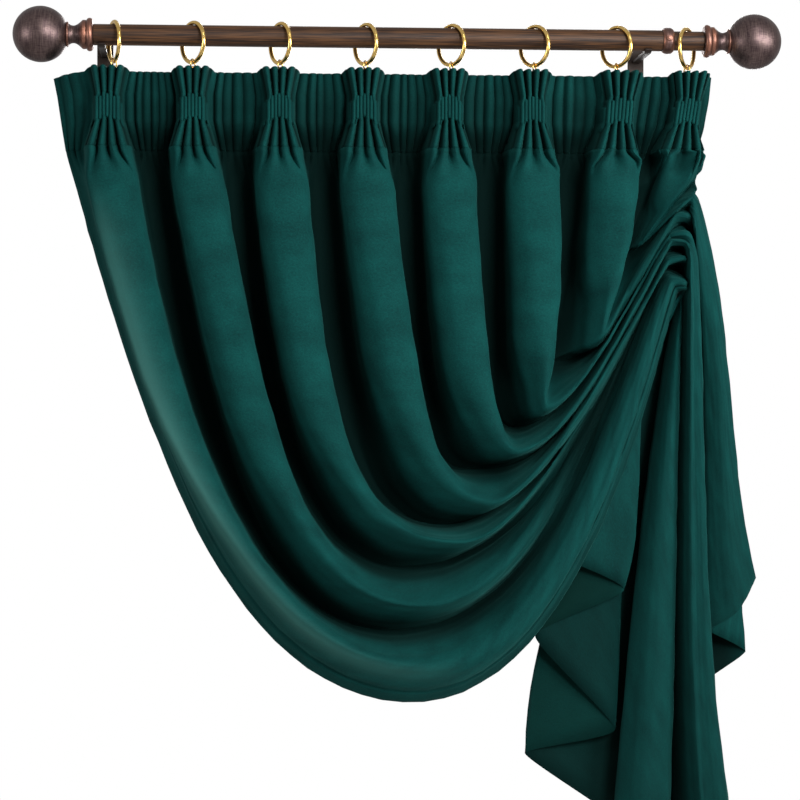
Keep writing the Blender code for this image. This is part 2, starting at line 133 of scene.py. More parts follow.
def newMaterial(name, constants):
    made = bpy.data.materials.new(name)
    made.use_nodes = True
    shader = made.node_tree.nodes["Principled BSDF"]
    for socket, value in constants.items():
        shader.inputs[socket].default_value = value
    return made, made.node_tree, shader


def addNode(tree, kind, settings, links=None):
    # a key that names an input sets its value, any other key sets a property of the node
    node = tree.nodes.new("ShaderNode" + kind)
    for key, value in settings.items():
        if isinstance(key, int) or key in node.inputs:
            node.inputs[key].default_value = value
        else:
            setattr(node, key, value)
    link(node, links or {})
    return node


def link(node, links):
    # a source is one output, or a node for its first one
    for socket, source in links.items():
        output = source.outputs[0] if isinstance(source, bpy.types.Node) else source
        node.id_data.links.new(output, node.inputs[socket])


velvetLook = {
    "deep": "072F2E",
    "lit": "0D4845",
    "sheen": "55AEA6",
    "paintedPocketShade": "041A18",  # painted shade on the face, deep between the folds
    "paintedHollowShade": "03211D",  # painted shade on the reverse, deep between the folds
    "paintedHighlight": "42746E",  # painted highlight, a pale strip along the leading fold
    "nap": 340.0,  # clumps of pile 3 mm across, coarser than real
    "pile": 620.0,  # tufts under 2 mm across
    "broad": 22.0,  # patches of 45 mm, where the pile was brushed another way
    "contrast": (0.37, 0.63),
    "bump": 0.0009,
    "faceSheen": 0.15,
    "reverseSheen": 0.05,
    "shader": {"Roughness": 0.85, "Specular IOR Level": 0.06, "Sheen Roughness": 0.42},
}


def pileVelvet(name, shadeLayer, sheen):
    # cut-pile cotton velvet: matt and deep from the front, a pale sheen where it turns away,
    # with a mottled nap where the pile leans different ways, painted shade between the folds and a painted
    # highlight on the leading fold
    constants = {**velvetLook["shader"], "Sheen Weight": sheen, "Sheen Tint": toLinear(velvetLook["sheen"])}
    made, tree, shader = newMaterial(name, constants)
    flat = addNode(tree, "TexCoord", {}).outputs["UV"]  # metres on the flat cloth
    noises = []
    for layer, detail, rough in (("nap", 4.0, 0.7), ("pile", 2.0, 0.6), ("broad", 4.0, 0.55)):
        settings = {"Scale": velvetLook[layer], "Detail": detail, "Roughness": rough}
        noises.append(addNode(tree, "TexNoise", settings, {"Vector": flat}))
    fine = addNode(tree, "Mix", {"Factor": 0.5}, {"A": noises[0], "B": noises[1]})
    both = addNode(tree, "Mix", {"Factor": 0.4}, {"A": fine, "B": noises[2]})
    least, most = velvetLook["contrast"]
    share = addNode(tree, "MapRange", {"From Min": least, "From Max": most}, {"Value": both})
    colours = {"data_type": "RGBA", 6: toLinear(velvetLook["deep"]), 7: toLinear(velvetLook["lit"])}
    tone = addNode(tree, "Mix", colours, {"Factor": share})
    # painted highlight and painted shade, mixed in from the cloth's attributes
    for layer in ("paintedHighlight", shadeLayer):
        share = addNode(tree, "Attribute", {"attribute_name": layer})
        tone = addNode(tree, "Mix", {"data_type": "RGBA", 7: toLinear(velvetLook[layer])},
                       {"Factor": share.outputs["Fac"], 6: tone.outputs[2]})
    bump = addNode(tree, "Bump", {"Strength": 0.4, "Distance": velvetLook["bump"]}, {"Height": fine})
    link(shader, {"Base Color": tone.outputs[2], "Normal": bump})
    return made


bronzeLook = {
    "dark": "45373A",
    "light": "73625E",
    "copper": "A87058",
    "round": (1500, 60, 60),  # brush lines under 1 mm wide, round the ball's axis
    "across": (80, 500, 1500),  # and across it
    "patches": 70.0,  # where the coating was rubbed, 14 mm apart
    "roughness": (0.34, 0.50),
}


def brushedBronze():
    # oil-rubbed bronze over a turned ball: dark brown, finely brushed round and across,
    # with a copper colour where the edges are rubbed
    made, tree, shader = newMaterial("oilRubbedBronze", {"Metallic": 1.0})
    place = addNode(tree, "TexCoord", {}).outputs["Object"]
    brushes = []
    for name in ("round", "across"):
        stretch = addNode(tree, "Mapping", {"Scale": bronzeLook[name]}, {"Vector": place})
        brushes.append(addNode(tree, "TexNoise", {"Scale": 1.0, "Detail": 3.0, "Roughness": 0.6},
                               {"Vector": stretch}))
    brush = addNode(tree, "Mix", {"Factor": 0.42}, {"A": brushes[0], "B": brushes[1]})
    patches = addNode(tree, "TexNoise", {"Scale": bronzeLook["patches"], "Detail": 2.0}, {"Vector": place})
    rubbed = addNode(tree, "MapRange", {"From Min": 0.4, "From Max": 0.62}, {"Value": brush})
    colours = {"data_type": "RGBA", 6: toLinear(bronzeLook["dark"]), 7: toLinear(bronzeLook["light"])}
    tone = addNode(tree, "Mix", colours, {"Factor": rubbed})
    edge = addNode(tree, "Attribute", {"attribute_name": "worn"})
    wear = addNode(tree, "Math", {"operation": "MULTIPLY"}, {0: edge.outputs["Fac"], 1: patches})
    copper = addNode(tree, "Mix", {"data_type": "RGBA", 7: toLinear(bronzeLook["copper"])},
                     {"Factor": wear, 6: tone.outputs[2]})
    smooth, rough = bronzeLook["roughness"]
    gloss = addNode(tree, "MapRange", {"To Min": smooth, "To Max": rough}, {"Value": brush})
    bump = addNode(tree, "Bump", {"Strength": 0.35, "Distance": 0.0004}, {"Height": brush})
    link(shader, {"Base Color": copper.outputs[2], "Roughness": gloss, "Normal": bump})
    return made


rodLook = {
    "dark": "22130B",
    "light": "5C3D24",
    "bands": (9, 260, 260),  # growth bands 4 mm wide and 110 mm long
    "lines": (22, 900, 900),  # fine lines 1 mm wide and 45 mm long
    "contrast": (0.42, 0.62),
    "shader": {"Roughness": 0.5, "Specular IOR Level": 0.3},
}


def grainedRodPaint():
    # a brown finish printed on steel tube, with fine golden-brown grain that runs along the rod
    made, tree, shader = newMaterial("grainedRodFinish", rodLook["shader"])
    place = addNode(tree, "TexCoord", {}).outputs["Object"]
    coarse = addNode(tree, "Mapping", {"Scale": rodLook["bands"]}, {"Vector": place})
    fine = addNode(tree, "Mapping", {"Scale": rodLook["lines"]}, {"Vector": place})
    bands = addNode(tree, "TexNoise", {"Scale": 1.0, "Detail": 3.0, "Distortion": 0.4}, {"Vector": coarse})
    lines = addNode(tree, "TexNoise", {"Scale": 1.0, "Detail": 3.0}, {"Vector": fine})
    grain = addNode(tree, "Mix", {"Factor": 0.5}, {"A": bands, "B": lines})
    least, most = rodLook["contrast"]
    share = addNode(tree, "MapRange", {"From Min": least, "From Max": most}, {"Value": grain})
    colours = {"data_type": "RGBA", 6: toLinear(rodLook["dark"]), 7: toLinear(rodLook["light"])}
    tone = addNode(tree, "Mix", colours, {"Factor": share})
    bump = addNode(tree, "Bump", {"Strength": 0.25, "Distance": 0.0003}, {"Height": grain})
    link(shader, {"Base Color": tone.outputs[2], "Normal": bump})
    return made


brassLook = {
    "dark": "D6A94F",
    "light": "F0D088",
    "patches": 110.0,  # 9 mm apart
    "roughness": (0.14, 0.28),
}


def polishedBrass():
    # drawn brass wire, polished, with faint darker patches of handling
    made, tree, shader = newMaterial("polishedBrass", {"Metallic": 1.0})
    place = addNode(tree, "TexCoord", {}).outputs["Object"]
    patches = addNode(tree, "TexNoise", {"Scale": brassLook["patches"], "Detail": 2.0}, {"Vector": place})
    colours = {"data_type": "RGBA", 6: toLinear(brassLook["dark"]), 7: toLinear(brassLook["light"])}
    tone = addNode(tree, "Mix", colours, {"Factor": patches})
    smooth, rough = brassLook["roughness"]
    gloss = addNode(tree, "MapRange", {"To Min": smooth, "To Max": rough}, {"Value": patches})
    link(shader, {"Base Color": tone.outputs[2], "Roughness": gloss})
    return made


enamelLook = {
    "dark": "241B17",
    "light": "3A2E28",
    "pebbles": 1400.0,  # 0.7 mm apart
    "shader": {"Roughness": 0.45, "Metallic": 0.5},
}


def bracketEnamel():
    # dark bronze powder coat on steel strap, with a very fine pebbled surface
    made, tree, shader = newMaterial("bronzePowderCoat", enamelLook["shader"])
    place = addNode(tree, "TexCoord", {}).outputs["Object"]
    pebble = addNode(tree, "TexNoise", {"Scale": enamelLook["pebbles"], "Detail": 2.0}, {"Vector": place})
    colours = {"data_type": "RGBA", 6: toLinear(enamelLook["dark"]), 7: toLinear(enamelLook["light"])}
    tone = addNode(tree, "Mix", colours, {"Factor": pebble})
    bump = addNode(tree, "Bump", {"Strength": 0.3, "Distance": 0.0002}, {"Height": pebble})
    link(shader, {"Base Color": tone.outputs[2], "Normal": bump})
    return made


# Surfaces on grids

def meshOf(name, grid, closed=(False, False), flat=None, worn=None):
    # a grid of points joined by four-sided faces; closed joins its last row or column to the first
    rows, columns = grid.shape[:2]
    index = np.arange(rows * columns).reshape(rows, columns)
    if closed[0]:
        index = np.vstack([index, index[:1]])
    if closed[1]:
        index = np.hstack([index, index[:, :1]])
    corners = (index[:-1, :-1], index[:-1, 1:], index[1:, 1:], index[1:, :-1])
    faces = np.stack([corner.ravel() for corner in corners], axis=1)
    mesh = bpy.data.meshes.new(name)
    mesh.from_pydata((grid.reshape(-1, 3) * mm).tolist(), [], faces.tolist())
    if flat is not None:
        layer = mesh.uv_layers.new(name="flatCloth")
        layer.data.foreach_set("uv", flat.reshape(-1, 2)[faces.ravel()].astype(np.float32).ravel())
    if worn is not None:
        addShare(mesh, "worn", np.repeat(worn, columns))
    return mesh


def addShare(mesh, name, values):
    layer = mesh.attributes.new(name, "FLOAT", "POINT")
    layer.data.foreach_set("value", np.asarray(values, np.float32).ravel())


def weld(mesh):
    # rows of points in one place, at poles and end caps, become one point, and all faces turn outwards
    shape = bmesh.new()
    shape.from_mesh(mesh)
    bmesh.ops.remove_doubles(shape, verts=shape.verts, dist=1e-7)
    bmesh.ops.recalc_face_normals(shape, faces=shape.faces)
    shape.to_mesh(mesh)
    shape.free()


def finished(name, mesh, finish, nodes, angle=40):
    piece = bpy.data.objects.new(name, mesh)
    scene.collection.objects.link(piece)
    mesh.materials.append(finish)
    mesh.shade_smooth()
    mesh.set_sharp_from_angle(angle=math.radians(angle))
    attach(piece, "root")
    if nodes:
        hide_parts(*nodes)
    return piece


def hardPiece(name, grid, finish, nodes, angle=40, closed=(False, True), worn=None):
    mesh = meshOf(name, grid, closed, worn=worn)
    weld(mesh)
    finished(name, mesh, finish, nodes, angle)


def eased(at, marks, values):
    # values at a few marks, joined by curves that are level at each mark, and the same beyond the last
    marks, values = np.asarray(marks, float), np.asarray(values, float)
    part = np.clip(np.searchsorted(marks, at, side="right") - 1, 0, len(marks) - 2)
    t = np.clip((at - marks[part]) / (marks[part + 1] - marks[part]), 0, 1)
    t = t * t * (3 - 2 * t)
    return values[part] * (1 - t) + values[part + 1] * t


def throughPoints(points, perPart):
    # a cubic between each two points, whose slope at a point is half the step between its neighbours
    p = np.asarray(points, float)
    p = np.vstack([2 * p[0] - p[1], p, 2 * p[-1] - p[-2]])
    a, b, c, d = (p[k:len(p) - 3 + k, None, :] for k in range(4))
    t = (np.arange(perPart) / perPart)[None, :, None]
    curve = (b + (c - a) * t / 2 + (2 * a - 5 * b + 4 * c - d) * t ** 2 / 2
             + (3 * b - a - 3 * c + d) * t ** 3 / 2)
    return np.vstack([curve.reshape(-1, p.shape[1]), p[-2:-1]])


def arc(centre, radius, start, end, count):
    angle = np.radians(np.linspace(start, end, count))
    return np.column_stack([centre[0] + radius * np.cos(angle), centre[1] + radius * np.sin(angle)])


def circle(steps):
    return np.linspace(0, 2 * math.pi, steps, endpoint=False)


def turned(profile, origin, axis, steps):
    # each row of the profile, a distance along the axis and a radius, is carried round the axis
    profile, axis = np.asarray(profile, float), np.asarray(axis, float)
    up = np.array([0.0, 0.0, 1.0])
    side = np.cross(axis, up)
    angle = circle(steps)[:, None]
    wheel = np.cos(angle) * up + np.sin(angle) * side
    return np.asarray(origin, float) + profile[:, None, :1] * axis + profile[:, None, 1:] * wheel[None]


def tubeAlong(path, radius, sides):
    # a round section carried along a path, square to it, and closed to a point at both ends
    path = np.vstack([path[:1], path, path[-1:]])
    ahead = np.gradient(path, axis=0)
    ahead /= np.linalg.norm(ahead, axis=1)[:, None]
    first = np.cross(ahead, (0.0, 1.0, 0.0))
    first /= np.linalg.norm(first, axis=1)[:, None]
    second = np.cross(ahead, first)
    thick = np.full(len(path), radius)
    thick[[0, -1]] = 0
    angle = circle(sides)[:, None]
    wheel = np.cos(angle) * first[:, None, :] + np.sin(angle) * second[:, None, :]
    return path[:, None, :] + thick[:, None, None] * wheel


def ringOf(centre, turn, major, minor, steps):
    # a small circle carried round a large one, which stands upright and is turned about the vertical
    turn = math.radians(turn)
    axis = np.array([math.cos(turn), math.sin(turn), 0.0])
    up = np.array([0.0, 0.0, 1.0])
    angle, section = circle(steps[0])[:, None, None], circle(steps[1])[None, :, None]
    outward = np.cos(angle) * up + np.sin(angle) * np.cross(axis, up)
    across = minor * np.sin(section) * axis
    return np.asarray(centre, float) + (major + minor * np.cos(section)) * outward + across


# The rod with its finials, collar and brackets

rod = {
    "rise": 18.0,  # the rod's axis above the origin
    "y": -95.0,
    "left": -11.0,
    "split": 750.0,  # where the wide tube ends
    "right": 806.0,
    "radius": 14.0,
    "wall": 0.8,
    "gap": 0.3,  # room between pieces that touch
    "overlap": 60.0,  # of the narrow tube in the wide one
    "edge": 0.25,  # rounding of the tubes' ends
    "steps": 96,
}
rodAxis = (0.0, rod["y"], rod["rise"])
innerRadius = rod["radius"] - rod["wall"] - rod["gap"]


def tube(start, end, radius):
    inside, edge = radius - rod["wall"], rod["edge"]
    return [(start, inside), (start, radius - edge), (start + edge, radius), (end - edge, radius),
            (end, radius - edge), (end, inside), (start, inside)]


def makeRod():
    paint = grainedRodPaint()
    wide = tube(rod["left"], rod["split"], rod["radius"])
    narrow = tube(rod["split"] - rod["overlap"], rod["right"], innerRadius)
    for name, node, profile in (("rodTube", "rod_tube", wide), ("rodInner", "rod_inner", narrow)):
        hardPiece(name, turned(profile, rodAxis, (1, 0, 0), rod["steps"]), paint, [node])


finial = {
    "ballRadius": 37.0,
    "ballCentre": 69.0,  # from the rod's end
    "ballFoot": 15.6,  # radius where the ball meets the bead
    "backRadius": 15.5,
    # the rolls: distance of the centre from the rod's end, radius of the centre, radius of the roll
    "flange": (4.6, 17.4, 4.6),
    "bead": (34.0, 15.2, 1.5),
    "step": ((9.4, 18.9), (10.2, 19.2)),
    # the neck: distance from the rod's end, radius
    "neck": ((13.8, 19.2), (15.5, 17.6), (18.0, 15.4), (21.0, 13.2), (24.0, 11.9), (26.0, 11.6),
             (28.2, 11.9), (30.0, 12.6), (32.0, 14.0)),
}


def finialRows():
    # rows of distance, radius and wear: a rounded flange, a step, a waisted neck, a small bead and the ball
    flange = arc(finial["flange"][:2], finial["flange"][2], 180, 0, 18)
    neck = throughPoints(finial["neck"], 4)
    bead = arc(finial["bead"][:2], finial["bead"][2], 150, 20, 8)
    start = 180 - math.degrees(math.asin(finial["ballFoot"] / finial["ballRadius"]))
    ball = arc((finial["ballCentre"], 0), finial["ballRadius"], start, 0, 56)
    rows = np.vstack([[(0.0, 0.0), (0.0, finial["backRadius"])], flange, finial["step"], neck, bead, ball])
    flangeWear = eased(np.linspace(0, 1, len(flange)), (0, 0.45, 0.8, 1), (0.4, 1.0, 0.7, 0.2))
    neckWear = eased(np.linspace(0, 1, len(neck)), (0, 0.12, 0.3, 1), (1.0, 0.7, 0.0, 0.1))
    wear = [[0, 0.3], flangeWear, [0.9, 1.0], neckWear, np.full(len(bead), 0.8), np.zeros(len(ball))]
    return rows, np.concatenate(wear)


def makeFinials(bronze):
    rows, wear = finialRows()
    for name, node, end, way in (("finialLeft", "finial_left", rod["left"] - rod["gap"], -1),
                                 ("finialRight", "finial_right", rod["right"] + rod["gap"], 1)):
        shape = turned(rows, (end, rod["y"], rod["rise"]), (way, 0, 0), 128)
        hardPiece(name, shape, bronze, [node], worn=wear)


collar = {
    "length": 14.4,
    "radius": 17.6,
    "fall": 2.6,  # how much thinner the barrel is at its ends
    "fullness": 3.2,
    "screwTurn": 85,  # degrees from the top to the front
    # columns: height above the collar's radius, radius, wear
    "boss": ((-1.2, 0.0, 0.0), (-1.2, 4.6, 0.2), (0.1, 4.4, 0.6), (0.9, 3.8, 0.9), (1.2, 2.9, 0.5),
             (1.2, 0.0, 0.2)),
    "screw": ((0.6, 0.0, 0.0), (0.6, 2.2, 0.5), (1.9, 2.2, 0.9), (2.4, 1.8, 0.8), (2.6, 0.0, 0.4)),
}


def makeCollar(bronze):
    start = rod["split"] + rod["gap"]
    length, radius, inside = collar["length"], collar["radius"], rod["radius"] - rod["wall"]
    share = np.linspace(0, 1, 21)
    toEnd = np.abs(2 * share - 1)
    barrel = np.column_stack([start + share * length, radius - collar["fall"] * toEnd ** collar["fullness"]])
    rows = np.vstack([[(start, inside)], barrel, [(start + length, inside), (start, inside)]])
    wear = np.concatenate([[0], 0.3 + 0.7 * toEnd ** 2, [0, 0]])
    shape = turned(rows, rodAxis, (1, 0, 0), rod["steps"])
    hardPiece("rodCollar", shape, bronze, ["rod_collar"], worn=wear)
    tilt = math.radians(collar["screwTurn"])
    outward = np.array([0.0, -math.sin(tilt), math.cos(tilt)])
    centre = np.array([start + length / 2, rod["y"], rod["rise"]])
    for name, part, nodes, steps in (("collarBoss", "boss", [], 40),
                                     ("collarScrew", "screw", ["collar_screw"], 32)):
        rows = np.array(collar[part])
        shape = turned(rows[:, :2] + (radius, 0.0), centre, outward, steps)
        hardPiece(name, shape, bronze, nodes, 30, worn=rows[:, 2])


bracket = {
    "places": {"left": 0.0, "right": 730.0},
    "plateWidth": 22.0,
    "plateTop": 24.0,
    "plateThick": 4.0,
    "armWidth": 9.0,
    "armThick": 3.5,
    "cradle": (20, -130),  # degrees round under the rod, from behind it to in front
    "corner": 5.0,  # rounding of the plate's corners
    "bevel": 0.5,
}


def strap(name, outline, width, centre, enamel, node, across="x"):
    # an outline extruded to a width, with its edges rounded
    count = len(outline)
    outline = np.asarray(outline, float)
    if across == "x":
        front, back = (np.column_stack([np.full(count, centre + side * width / 2), outline])
                       for side in (-1, 1))
    else:
        front, back = (np.column_stack([centre + outline[:, 0], np.full(count, y), outline[:, 1]])
                       for y in (-width, 0.0))
    mesh = bpy.data.meshes.new(name)
    ring = np.arange(count)
    sides = np.column_stack([ring, np.roll(ring, -1), np.roll(ring, -1) + count, ring + count])
    faces = sides.tolist() + [ring[::-1].tolist(), (ring + count).tolist()]
    mesh.from_pydata((np.vstack([front, back]) * mm).tolist(), [], faces)
    weld(mesh)
    piece = finished(name, mesh, enamel, [node], 30)
    bevel = piece.modifiers.new("rounded edges", "BEVEL")
    bevel.width = bracket["bevel"] * mm
    bevel.segments = 2
    bevel.angle_limit = math.radians(40)


def makeBrackets():
    enamel = bracketEnamel()
    inside = rod["radius"] + rod["gap"]
    outside = inside + bracket["armThick"]
    axis = (rod["y"], rod["rise"])
    root = -bracket["plateThick"] - rod["gap"]
    behind, before = bracket["cradle"]
    meeting = -math.degrees(math.asin(inside / outside))
    arm = np.vstack([[(root, axis[1] - outside), (root, axis[1] - inside)],
                     arc(axis, outside, meeting, behind, 24), arc(axis, inside, behind, before, 48),
                     arc(axis, outside, before, -90, 18)])
    half, top, corner = bracket["plateWidth"] / 2, bracket["plateTop"], bracket["corner"]
    plate = np.vstack([arc((x * (half - corner), z * (top - corner)), corner, start, start + 90, 8)
                       for x, z, start in ((1, 1, 0), (-1, 1, 90), (-1, -1, 180), (1, -1, 270))])
    for side, x in bracket["places"].items():
        strap("bracketArm" + side.capitalize(), arm, bracket["armWidth"], x, enamel, "bracket_arm_" + side)
        strap("bracketPlate" + side.capitalize(), plate, bracket["plateThick"], x, enamel,
              "bracket_plate_" + side, "y")


# Rings with their eyes and hooks

rings = {
    "outer": 29.0,
    "wire": 2.8,
    "eyeRadius": 7.1,
    "eyeWire": 1.0,
    "hookWire": 0.9,
    "hookBend": 3.2,
    "hookSpread": 8.0,
    "hookFoot": 84.0,  # drop of the legs' ends below the rod's axis
    "steps": (112, 24),
    "eyeSteps": (48, 14),
    # columns: x of the ring, turn about the vertical in degrees, x of its pleat
    "places": ((15.8, 18, 8.0), (120.0, 34, 120.0), (236.0, 28, 234.0), (350.0, 30, 347.0),
               (465.0, 36, 460.0), (577.0, 38, 572.0), (688.0, 38, 684.0), (784.0, -32, 772.0)),
}


def makeRings():
    brass = polishedBrass()
    major = rings["outer"] - rings["wire"]
    hole = rings["eyeRadius"] - 2 * rings["eyeWire"]
    for number, (x, turn, pleat) in enumerate(rings["places"], start=1):
        tubeRadius = rod["radius"] if x < rod["split"] else innerRadius
        drop = major - rings["wire"] - tubeRadius - rod["gap"]
        ring = ringOf((x, rod["y"], rod["rise"] - drop), turn, major, rings["wire"], rings["steps"])
        hardPiece(f"ring{number}", ring, brass, [f"ring_{number}"], 80, (True, True))
        eyeDrop = drop + major - rings["wire"] - rod["gap"] + hole
        eyeTurn = math.copysign((90 - abs(turn)) / 2, -turn)
        eye = ringOf((x, rod["y"], rod["rise"] - eyeDrop), eyeTurn, rings["eyeRadius"] - rings["eyeWire"],
                     rings["eyeWire"], rings["eyeSteps"])
        hardPiece(f"eye{number}", eye, brass, [f"eye_{number}"], 80, (True, True))
        makeHook(number, x, pleat, eyeDrop + hole, brass)


def makeHook(number, ringX, pleatX, eyeBottom, brass):
    # a wire bent over the eye's lower turn, its two legs spread behind the pleat
    bend = rings["hookBend"]
    centre = eyeBottom - rod["gap"] + bend - rings["hookWire"]
    foot = heading["levels"][1]
    footY = foot[2] + cloth["thick"] / 2 + rings["hookWire"] + rod["gap"]
    footX = float(leaned(pleatX, foot[4], foot[5]))
    top = arc((ringX, rod["rise"] - centre), bend, 180, 0, 13)
    bent = np.column_stack([top[:, 0], np.full(len(top), rod["y"]), top[:, 1]])
    footZ = rod["rise"] - rings["hookFoot"]
    left, right = ([(footX + side * rings["hookSpread"], footY, footZ)] for side in (-1, 1))
    wire = tubeAlong(np.vstack([left, bent, right]), rings["hookWire"], 14)
    hardPiece(f"hook{number}", wire, brass, [f"hook_{number}"], 80)


# The cloth

cloth = {
    "thick": 1.8,
    "seam": 150.0,  # drop below the rod of the seam between heading and panel
    "returnY": -44.0,
}

heading = {
    "fingers": 4,
    "gathers": 5,  # tens of columns between two pleats
    "leftWaves": 2,  # and left of the first
    "fingerDepth": 17.0,
    "gatherDepth": 8.5,
    "gatherWidths": (9.0, 16.0),
    "fingerGap": 0.14,  # share of a finger's swell that is flat between two fingers
    "tucks": 7,  # narrow stitched tucks across the middle of a pleat
    "tuckDepth": 5.5,
    "tuckBase": 0.62,  # how far the tucks stand out, as a share of the fingers' depth
    "band": (79.0, 110.0),  # drops between which the tucks are stitched
    "bandEdge": 1.2,
    "pleatEdge": 6.0,
    # columns: drop, half width of a pleat, depth behind the fingers, depth between the pleats,
    # left lean, right lean, dip
    "levels": ((43.0, 23.0, -104.0, -86.0, -16.0, 15.0, 5.0), (78.0, 16.0, -104.0, -86.0, -11.0, 12.0, 0.0),
               (112.0, 16.0, -104.0, -80.0, -6.0, 7.0, 0.0), (150.0, 28.0, -116.0, -60.0, 0.0, 0.0, 0.0)),
}

# The panel's fold lines from the seam to the gather: even rows are edges and valleys, odd rows ridges.
# columns: x at the seam, slant there, fall, belly x, belly drop, sweep, rise, pull, steepness,
# then x, drop and depth of the knee where the line reaches the gather
foldRows = (
    (-50, 0.27, 400, 413, 886, 240, 234, 70, 1.21, 762, 340, -140),
    (6, 0.13, 345, 419, 832, 230, 203, 107, 1.12, 751, 324, -160),
    (63, 0.15, 380, 384, 795, 170, 228, 193, 1.06, 751, 308, -112),
    (120, 0.14, 400, 415, 753, 170, 161, 185, 1.09, 751, 309, -112),
    (176, 0.10, 420, 405, 710, 110, 168, 230, 1.09, 752, 308, -106),
    (234, 0.05, 400, 473, 671, 160, 94, 73, 1.11, 751, 306, -112),
    (291, 0.05, 400, 452, 652, 90, 170, 23, 0.60, 752, 305, -108),
    (347, 0.08, 360, 511, 619, 90, 70, 50, 0.99, 749, 301, -154),
    (404, 0.04, 470, 510, 575, 50, 109, 190, 1.09, 750, 285, -126),
    (460, 0.00, 340, 546, 552, 30, 78, 20, 0.70, 752, 274, -158),
    (518, 0.00, 370, 554, 520, 25, 83, 64, 0.94, 752, 271, -136),
    (572, 0.00, 300, 585, 492, 12, 50, 20, 0.60, 753, 264, -146),
    (630, -0.05, 200, 602, 432, -5, 87, 111, 0.99, 756, 256, -134),
    (684, -0.15, 180, 661, 396, 6, 12, 120, 0.96, 760, 238, -152),
    (735, -0.15, 80, 702, 288, 0, 25, 20, 0.40, 767, 232, -126),
    (772, -0.30, 50, 722, 268, 0, 5, 40, 0.66, 780, 216, -150),
    (803, -0.02, 15, 799, 178, 0, 0, -10, 1.30, 788, 209, -132),
)

# Where the lines turn over at the gather: ridges end in rounded noses, valleys in hollows behind them.
# columns: tip x, tip drop, tip depth, x, drop and depth where the tail begins
turnRows = (
    (771, 337, -154, 772, 346, -122),
    (771, 330, -168, 773, 337, -130),
    (771, 324, -156, 775, 327, -120),
    (768, 313, -112, 773, 323, -108),
    (770, 309, -108, 773, 319, -106),
    (771, 305, -112, 774, 316, -106),
    (772, 301, -112, 775, 311, -108),
    (771, 295, -162, 774, 306, -124),
    (773, 283, -116, 775, 312, -92),
    (772, 276, -165, 774, 294, -160),
    (769, 271, -150, 778, 286, -166),
    (776, 262, -160, 789, 290, -140),
    (773, 248, -120, 786, 264, -98),
    (776, 242, -158, 790, 254, -110),
    (779, 228, -128, 780, 241, -162),
    (782, 219, -152, 787, 224, -148),
    (791, 212, -130, 794, 216, -128),
)

# The tail's fold lines from the gather to the hem.
# columns: x at a third of the way down, x at two thirds, hem x, hem drop, hem depth
tailRows = (
    (712, 655, 600, 690, -128),
    (722, 714, 694, 738, -118),
    (706, 642, 577, 800, -106),
    (716, 696, 686, 927, -95),
    (690, 605, 566, 960, -83),
    (738, 716, 700, 1058, -72),
    (733, 705, 682, 1064, -112),
    (763, 755, 742, 1078, -126),
    (768, 766, 768, 1062, -44),
    (774, 774, 789, 1066, -118),
    (785, 791, 806, 1058, -142),
    (799, 808, 832, 1012, -128),
    (790, 795, 792, 890, -64),
    (825, 848, 863, 825, -94),
    (802, 807, 812, 794, -108),
    (820, 832, 848, 766, -124),
    (830, 847, 874, 723, -112),
)

# painted shade on the tail: how deep in its neighbours' shade its cloth lies, from 0 to 1, at places counted
# in fold lines
tailShade = np.array((
    (0, 0.1), (0.85, 0), (1.0, 0.15), (1.12, 0.75), (1.9, 1.0), (2.1, 0.72), (2.6, 0.7), (2.95, 0.55),
    (3.1, 0.7), (3.8, 0.75), (4.2, 0.9), (4.6, 0.8), (4.85, 1.0), (5.4, 1.0), (5.85, 0.7), (6.05, 0.35),
    (6.5, 0.1), (7.05, 0.0), (7.2, 0.3), (7.35, 1.0), (8.65, 1.0), (8.85, 0.4), (9.1, 0.05), (10.8, 0.0),
    (11.05, 0.2), (11.25, 1.0), (12.6, 1.0), (13.0, 0.5), (13.15, 0.15), (13.8, 0.2), (14.0, 1.0),
    (14.08, 0.9), (14.3, 0.2), (14.7, 0.0), (16, 0.0),
))

# how round the tail is at each line: its flat tiers turn sharply, its standing folds are full
tailRound = (0.5, 0.3, 0.3, 0.25, 0.25, 0.6, 1, 1, 1, 1, 1, 0.8, 0.3, 0.25, 0.25, 0.5, 0.5)

depths = {
    "at": (0.0, 0.12, 0.3, 0.52, 0.85, 1.0),  # marks down the swag, from the seam to the gather
    "ridge": (-122, -142, -152, -160, -162, -158),
    "valley": (-60, -46, -50, -70, -108, -128),
    "edge": (cloth["returnY"], -58, -78, -110, -142, -144),
    "lean": (0.0, 0.12, 0.30, 0.0, 0.0, 0.0),
    "sinking": (0.72, 0.93),  # where a line leaves these depths for that of its knee
    "hidden": (2, 6, 0.58, 0.82),  # lines that vanish early behind others, and where
    "settle": 5.0,
    "fullFall": 300.0,
    "gatherFall": 200.0,
}

fineness = {"perFold": 27, "swagRows": 74, "turnRows": 5, "tailRows": 28}
swagShare = 24 / 37  # share of the whole length that the swag takes in the roundness marks

# how far the cloth swells beside a line, in steps to its neighbours, at marks down the whole length
roundness = {
    "at": (0, 0.014, 0.10, 0.20, 0.30, 0.40, 0.50, 0.62, 0.72, 1),
    "ridgeOut": (1.1, 3.4, 3.5, 1.5, 0.7, 1.6, 2.4, 1.3, 2.1, 2.1),
    "ridgeIn": (1.1, 3.7, 3.8, 2.0, 0.6, 1.8, 2.4, 1.1, 2.1, 2.1),
    "valleyOut": (1.0, 2.5, 2.5, 1.6, 0.4, 1.0, 1.6, 0.7, 1.6, 1.6),
    "valleyIn": (1.0, 2.5, 2.4, 0.8, 0.4, 1.0, 1.6, 0.6, 1.6, 1.6),
    "tailFrom": 0.85,  # where each line has its own roundness
}


def leaned(x, left, right):
    # the heading's ends lean out at the top
    return x + left * np.interp(x, (-50, -15), (1, 0)) + right * np.interp(x, (620, 740), (0, 1))


def bezier(points, t):
    a, b, c, d = (np.asarray(p, float) for p in points)
    t = t[:, None]
    return (1 - t) ** 3 * a + 3 * (1 - t) ** 2 * t * b + 3 * (1 - t) * t ** 2 * c + t ** 3 * d


